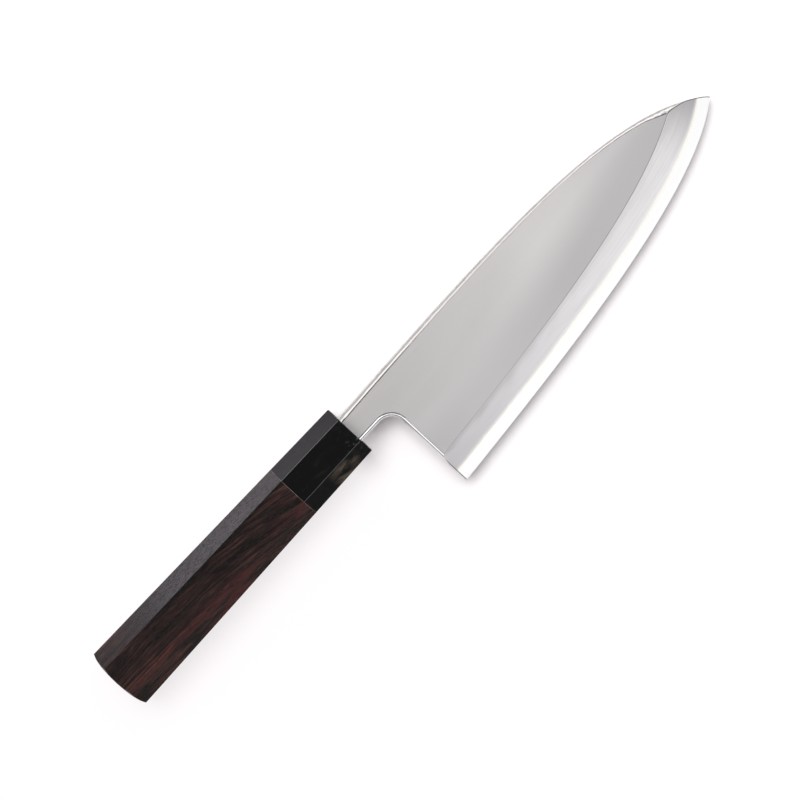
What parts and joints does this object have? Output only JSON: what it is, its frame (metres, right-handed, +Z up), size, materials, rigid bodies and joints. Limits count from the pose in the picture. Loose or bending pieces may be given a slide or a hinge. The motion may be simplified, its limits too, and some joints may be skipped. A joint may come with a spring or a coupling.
{
  "type": "deba knife",
  "caption": "Heavy single-bevel fish knife with a laminated blade, hollow-ground back, dark octagonal wood handle and black horn ferrule.",
  "frame": {"origin": "centre of the ferrule's front face, on the handle's axis, where the blade enters the handle", "axes": "+X along the handle's axis to the tip, +Y to the spine, +Z up, out of the bevelled face, with the knife lying on its hollow face"},
  "size_m": [0.3285, 0.0615, 0.0246],
  "materials": {
    "soft_iron": "satin flat, hazy stone-finished bevel",
    "hard_steel": "bright stone polish",
    "black_horn": "polished horn with faint brown streaks",
    "glue_film": "thin cured glue",
    "dark_rosewood": "oiled, open grain with red-brown and black streaks",
    "pale_dowel_wood": "raw",
    "bedding_resin": "cured resin",
    "mouth_resin": "black sealing resin"
  },
  "bodies": {
    "root": {"blade_cladding": "soft_iron", "edge_steel": "hard_steel", "ferrule": "black_horn", "ferrule_glue_line": "glue_film", "handle_body": "dark_rosewood", "core_dowel": "pale_dowel_wood", "tang_bedding": "bedding_resin", "mouth_seal": "mouth_resin"}
  },
  "joints": []
}
